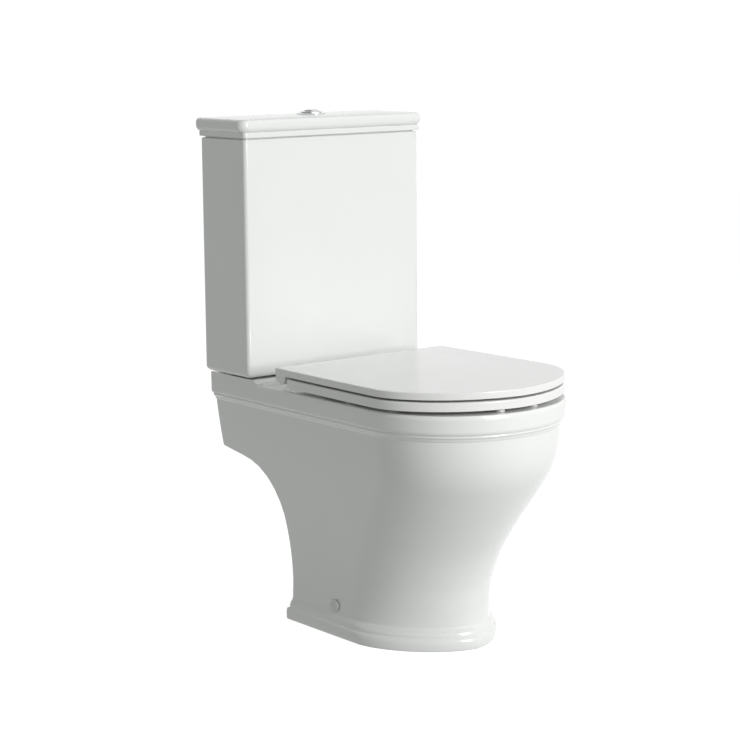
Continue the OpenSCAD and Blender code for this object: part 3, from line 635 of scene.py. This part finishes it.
def make_ring():
    def outline(inset):
        return u_outline(SEAT_HALF - inset, SEAT_FRONT - inset, RING_BACK - inset * .5, SEAT_ROUND,
                         SEAT_DEPTH, SEAT_TAPER, RING_BACK, 2.5, 96)

    ring = loft("seat_ring_moulding", slab_rows(RING_LOW, RING_HIGH, 1.6, 2.6, outline))
    r = 6.0
    hole = [(3.0, RING_LOW - 2)] + [(3 * (1 - math.sin(a)), RING_LOW + 3 * (1 - math.cos(a)))
                                    for a in steps(0, math.pi / 2, .3)]
    hole += [(r * (1 - math.cos(a)), RING_HIGH - r * (1 - math.sin(a))) for a in steps(0, math.pi / 2, .2)]
    hole += [(r, RING_HIGH + 3)]
    cut(ring, loft("h", [(oval(108 + g, -232 - g, 40 + g), z) for g, z in hole]))
    for s in (-1, 1):
        x0, x1 = span(s, LUG_IN, POST_IN - 1.5)
        join(ring, rod("l", EYE_R, x0, x1, "x", (0, HINGE_Y, HINGE_Z), 64, .8),
             block("b", (x0, RING_BACK - 4, RING_LOW + 4), (x1, HINGE_Y - 4, RING_HIGH)))
        cut(ring, rod("p", PIN_R + PIN_PLAY, x0 - 2, x1 + 2, "x", (0, HINGE_Y, HINGE_Z)))
    smooth(ring, 30)
    return piece(ring, "seat_ring_body", SEAT_MAT, "seat_plastic", "seat_ring")


def make_lid():
    def outline(inset):
        return u_outline(SEAT_HALF - inset, SEAT_FRONT - inset, HINGE_Y + BARREL_R - inset, SEAT_ROUND,
                         SEAT_DEPTH, SEAT_TAPER, HINGE_Y + BARREL_R, .4, 96)

    end = SEAT_HALF * (1 - SEAT_TAPER)
    lid = loft("seat_lid_moulding", slab_rows(LID_LOW, LID_HIGH, 1.2, 1.9, outline))
    join(lid, rod("b", BARREL_R, -end, end, "x", (0, HINGE_Y, HINGE_Z), 128, 1.2))
    for s in (-1, 1):
        x0, x1 = span(s, LUG_IN - 1.5, POST_OUT + 1.5)
        cut(lid, rod("n", EYE_R + 1.3, x0, x1, "x", (0, HINGE_Y, HINGE_Z)),
            block("n", (x0, HINGE_Y - BARREL_R - 1, HINGE_Z - BARREL_R - 1),
                  (x1, HINGE_Y + BARREL_R + 1, HINGE_Z + .5)))
        x0, x1 = span(s, POST_IN - .5, POST_OUT + 1.5)
        cut(lid, block("n", (x0, HINGE_Y, HINGE_Z), (x1, HINGE_Y + BARREL_R + 1, HINGE_Z + 10.5)))
        x0, x1 = span(s, POST_OUT - 1, WEB_OUT)
        cut(lid, rod("p", PIN_R + PIN_PLAY, x0, x1, "x", (0, HINGE_Y, HINGE_Z)))
    smooth(lid, 30)
    return piece(lid, "seat_lid_body", SEAT_MAT, "seat_plastic", "seat_lid")


# ---------------------------------------------------------------- chrome button and caps
def make_button():
    at = (0, INLET_Y, 0)
    edge = [(BEZEL_R - .5 + .5 * math.cos(a), BEZEL_Z + .5 + .5 * math.sin(a))
            for a in steps(-math.pi / 2, 0, .4)]
    top = [(BEZEL_R, BEZEL_Z + 1.0), (BEZEL_R - .15, BEZEL_Z + 1.35), (BEZEL_R - .6, BEZEL_Z + 1.6),
           (BEZEL_R - 1.3, BEZEL_Z + 1.9)]
    collar = [(BEZEL_R - 1.6 - 4.0 * t, BEZEL_Z + 2.0 + 2.5 * (1 - (1 - t) ** 2)) for t in steps(0, 1, .2)]
    lip = [(18.6, BEZEL_Z + 4.4), (17.6, BEZEL_Z + 4.0), (BEZEL_BORE, BEZEL_Z + 3.2),
           (BEZEL_BORE, BEZEL_FLOOR)]
    base = BEZEL_FLOOR - BEZEL_BASE
    neck = [(0, base), (BEZEL_NECK, base), (BEZEL_NECK, BEZEL_Z)]
    bezel = lathe("bezel_ring", neck + edge + top + collar + lip + [(0, BEZEL_FLOOR)], 128, "z", at)
    for x in (FULL_X, HALF_X):
        cut(bezel, rod("h", ROD_HOLE_R, 800, 830, "z", (x, INLET_Y, 0)))
    smooth(bezel, 40)
    piece(bezel, "cistern_lid_body", CHROME_MAT, "chrome", "button_bezel")
    r, shoulder = BEZEL_BORE - DOME_GAP, CAP_HIGH - DOME_RISE
    dome = [(r, shoulder)] + [(r * math.cos(a) ** .8, shoulder + DOME_RISE * math.sin(a) ** .9)
                              for a in steps(0, math.pi / 2, .1)[1:-1]]
    for name, node, body, low, high in (
            ("full_button_dome", "full_button", "full_button_body", -30.0, SPLIT_X - SPLIT_GAP),
            ("half_button_dome", "half_button", "half_button_body", SPLIT_X + SPLIT_GAP, 30.0)):
        cap = lathe(name, [(0, CAP_LOW), (r, CAP_LOW)] + dome + [(0, CAP_HIGH)], 128, "z", at)
        combine(cap, block("s", (low, INLET_Y - 30, 830), (high, INLET_Y + 30, 860)), "INTERSECT")
        mod = cap.modifiers.new("edge", "BEVEL")
        mod.width, mod.segments, mod.limit_method, mod.angle_limit = .0007, 3, "ANGLE", math.radians(50)
        bake_mesh(cap)
        smooth(cap, 40)
        piece(cap, body, CHROME_MAT, "chrome", node)


def make_side_caps():
    """Both caps are one mesh, because they are one node."""
    inner, outer = WAIST_HALF + CAP_GAP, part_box("side_caps")[1].x / MM
    profile = [(0, inner), (CAP_R - .4, inner), (CAP_R, inner + .4), (CAP_R, outer - CAP_DOME)]
    profile += [(CAP_R - 2 * (1 - math.cos(a)), outer - CAP_DOME + 2 * math.sin(a))
                for a in steps(0, math.pi / 2, .2)[1:]]
    profile += [(CAP_R * .4, outer - .05), (0, outer)]
    caps, other = [lathe("side_cap", [(r, s * x) for r, x in profile], 64, "x",
                         (0, BRACKET_Y, SIDE_HOLE_Z)) for s in (-1, 1)]
    join(caps, other)
    caps.name = "side_cap_domes"
    smooth(caps, 40)
    return piece(caps, "root", WHITE_MAT, "white_plastic", "side_caps")


def make_springs():
    """Both coil springs, each a fixed coil between the bezel floor and the button cap."""
    for node, joint, x in (("full_button_spring", "full_flush_press", FULL_X),
                           ("half_button_spring", "half_flush_press", HALF_X)):
        count = SPRING_TURNS * SPRING_STEPS
        verts = []
        for i in range(count + 1):
            a = 2 * math.pi * i / SPRING_STEPS
            z = SPRING_LOW + WIRE_R + (SPRING_HIGH - SPRING_LOW - 2 * WIRE_R) * i / count
            for j in range(WIRE_SIDES):
                t = 2 * math.pi * j / WIRE_SIDES
                r = SPRING_R + WIRE_R * math.cos(t)
                verts.append((x + r * math.cos(a), INLET_Y + r * math.sin(a), z + WIRE_R * math.sin(t)))
        faces = ring_faces(WIRE_SIDES, count + 1) + end_faces(WIRE_SIDES, count + 1)
        spring = mesh_object(node + "_coil", verts, faces)
        smooth(spring, 40)
        piece(spring, "cistern_lid_body", STEEL_MAT, "steel", node)
        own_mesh(spring)


make_pan()
make_cistern()
make_cistern_lid()
make_ring()
make_lid()
make_button()
make_springs()
make_side_caps()

# ---------------------------------------------------------------- CAD nodes that stay
for name, node in frame["nodes"].items():
    node.material_slots[0].material = SLOT_MATS[slot_of[name]]

# ---------------------------------------------------------------- floor, light and camera
scene = bpy.context.scene
scene.view_settings.view_transform = "Standard"
scene.view_settings.look = "None"
scene.view_settings.exposure = 0.0
scene.view_settings.gamma = 1.0

WORLD_COLOUR, WORLD_STRENGTH = (.965, 1.0, .97, 1), .325
FLOOR_DARK, FLOOR_LIGHT, FLOOR_GLOW = .34, .36, .9
FLOOR_R, FLOOR_TURN, FLOOR_WALL = 9.0 * .85, 1.4, 9.0
KEY_AT, KEY_AIM, KEY_SIZE, KEY_W = (.5, -3.5, 1.5), (0, 0, .42), (1.3, 2.0), 104
TOP_AT, TOP_AIM, TOP_SIZE, TOP_W = (.9, -.4, 3.2), (0, 0, .4), (2.0, 2.0), 14
CAMERA_AT, CAMERA_BACK = (-2.14465, -2.62506, .99589), (-.6122, -.7734, .1646)
SENSOR_WIDTH, LENS, CAMERA_ROLL = 36.0, 102.08, -.531

world = bpy.data.worlds.new("studio")
scene.world = world
world.use_nodes = True
world.node_tree.nodes["Background"].inputs["Color"].default_value = WORLD_COLOUR
world.node_tree.nodes["Background"].inputs["Strength"].default_value = WORLD_STRENGTH


def stage_disc():
    """Floor that turns up into a pale backdrop all round."""
    profile = [(4.5, 0.0), (FLOOR_R, 0.0)]
    profile += [(FLOOR_R + FLOOR_TURN * math.sin(a), FLOOR_TURN * (1 - math.cos(a)))
                for a in steps(0, math.pi / 2, .2)[1:]]
    profile += [(FLOOR_R + FLOOR_TURN, FLOOR_WALL)]
    n = 96
    round_once = [2 * math.pi * i / n for i in range(n)]
    verts = [(0, 0, 0)] + [(r * math.cos(a), r * math.sin(a), z) for r, z in profile for a in round_once]
    faces = [(0, 1 + i, 1 + (i + 1) % n) for i in range(n)]
    for k in range(len(profile) - 1):
        a, b = 1 + k * n, 1 + (k + 1) * n
        faces += [(a + i, b + i, b + (i + 1) % n, a + (i + 1) % n) for i in range(n)]
    floor = mesh_object("floor", verts, faces, 1.0)
    for p in floor.data.polygons:
        p.use_smooth = True
    m = Nodes("floor_paint", Roughness=.9)
    m.colour(m.noise(.6, 2), (FLOOR_DARK,) * 3, (FLOOR_LIGHT,) * 3)
    m.shader.inputs["Specular IOR Level"].default_value = 0.0
    m.shader.inputs["Emission Color"].default_value = (1, 1, 1, 1)
    m.shader.inputs["Emission Strength"].default_value = FLOOR_GLOW
    floor.data.materials.append(m.mat)
    # The photo is a cut-out on white: a real floor's bounce would brighten the pan's dark sides
    floor.visible_diffuse = False
    floor.visible_shadow = False


def area(name, place, aim, size, power_w):
    data = bpy.data.lights.new(name, "AREA")
    data.shape = "RECTANGLE"
    data.size, data.size_y = size
    data.energy = power_w
    light = bpy.data.objects.new(name, data)
    scene.collection.objects.link(light)
    light.location = place
    light.rotation_euler = (Vector(aim) - Vector(place)).to_track_quat("-Z", "Y").to_euler()


stage_disc()
area("key", KEY_AT, KEY_AIM, KEY_SIZE, KEY_W)
area("top", TOP_AT, TOP_AIM, TOP_SIZE, TOP_W)

# The camera stands where the fit puts the photo's, for the toilet's own size
camera_data = bpy.data.cameras.new("camera")
camera = bpy.data.objects.new("camera", camera_data)
scene.collection.objects.link(camera)
scene.camera = camera
camera_data.sensor_width = SENSOR_WIDTH
camera_data.lens = LENS
camera_data.dof.use_dof = False
back = Vector(CAMERA_BACK).normalized()
right = (-back).cross(Vector((0, 0, 1))).normalized()
up = right.cross(-back).normalized()
roll = math.radians(CAMERA_ROLL)
right_rolled = math.cos(roll) * right + math.sin(roll) * up
up_rolled = -math.sin(roll) * right + math.cos(roll) * up
turn = Matrix((right_rolled, up_rolled, back)).transposed()
camera.matrix_world = Matrix.Translation(Vector(CAMERA_AT)) @ turn.to_4x4()
camera_data.clip_start, camera_data.clip_end = .05, 60
